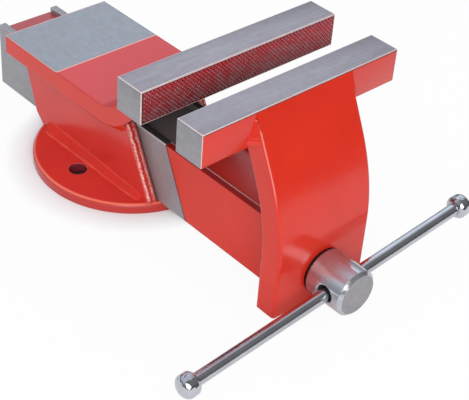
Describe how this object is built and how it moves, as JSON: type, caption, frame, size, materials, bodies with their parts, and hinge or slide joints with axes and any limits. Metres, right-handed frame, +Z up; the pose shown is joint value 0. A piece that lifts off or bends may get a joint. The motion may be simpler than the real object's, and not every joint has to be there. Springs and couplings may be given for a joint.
{
  "type": "bench vise",
  "caption": "Welded steel bench vise: round bolt-down foot, bent saddle plate with anvil, serrated jaws, sliding channel beam with screw spindle and tommy bar.",
  "frame": {"origin": "on the bench plane under the round foot, midway between its two bolt holes", "axes": "+Z up from the bench, +Y to the rear along the slide and spindle, away from the handle, +X along the jaws, to the right for someone at the handle"},
  "size_m": [0.2327, 0.3285, 0.1295],
  "materials": {
    "red_paint": "glossy enamel",
    "ground_steel": "ground and satin",
    "bright_steel": "bright plated",
    "cast_iron": "as machined, oiled",
    "bronze": "turned"
  },
  "bodies": {
    "base": {"foot_plate": "red_paint", "left_side_plate": "red_paint", "right_side_plate": "red_paint", "saddle_plate": "red_paint", "fixed_jaw_bar": "ground_steel", "spindle_nut": "cast_iron", "nut_screws": "ground_steel"},
    "slide": {"moving_jaw_arm": "red_paint", "moving_jaw_bar": "ground_steel", "left_beam_rail": "ground_steel", "right_beam_rail": "ground_steel", "beam_web": "red_paint", "spindle_bush": "bronze"},
    "spindle": {"spindle_screw": "bright_steel", "thrust_washer": "ground_steel", "retaining_collar": "ground_steel", "collar_pin": "ground_steel"},
    "handle": {"handle_bar": "bright_steel", "handle_knob_left": "bright_steel", "handle_knob_right": "bright_steel"}
  },
  "joints": [
    {"name": "slide_travel", "type": "slide", "parent": "base", "child": "slide", "axis": [0, 1, 0], "range_m": [-0.097, 0.0275]},
    {"name": "spindle_turn", "type": "hinge", "parent": "slide", "child": "spindle", "pos_m": [0, -0.19, 0.02], "axis": [0, 1, 0], "range_deg": [-8730, 2475]},
    {"name": "handle_slide", "type": "slide", "parent": "spindle", "child": "handle", "axis": [0.9966, 0, 0.0826], "range_m": [-0.0838, 0.0966]}
  ],
  "couplings": [
    {"joint": "slide_travel", "follows": "spindle_turn", "m_per_rad": 0.00063662}
  ]
}
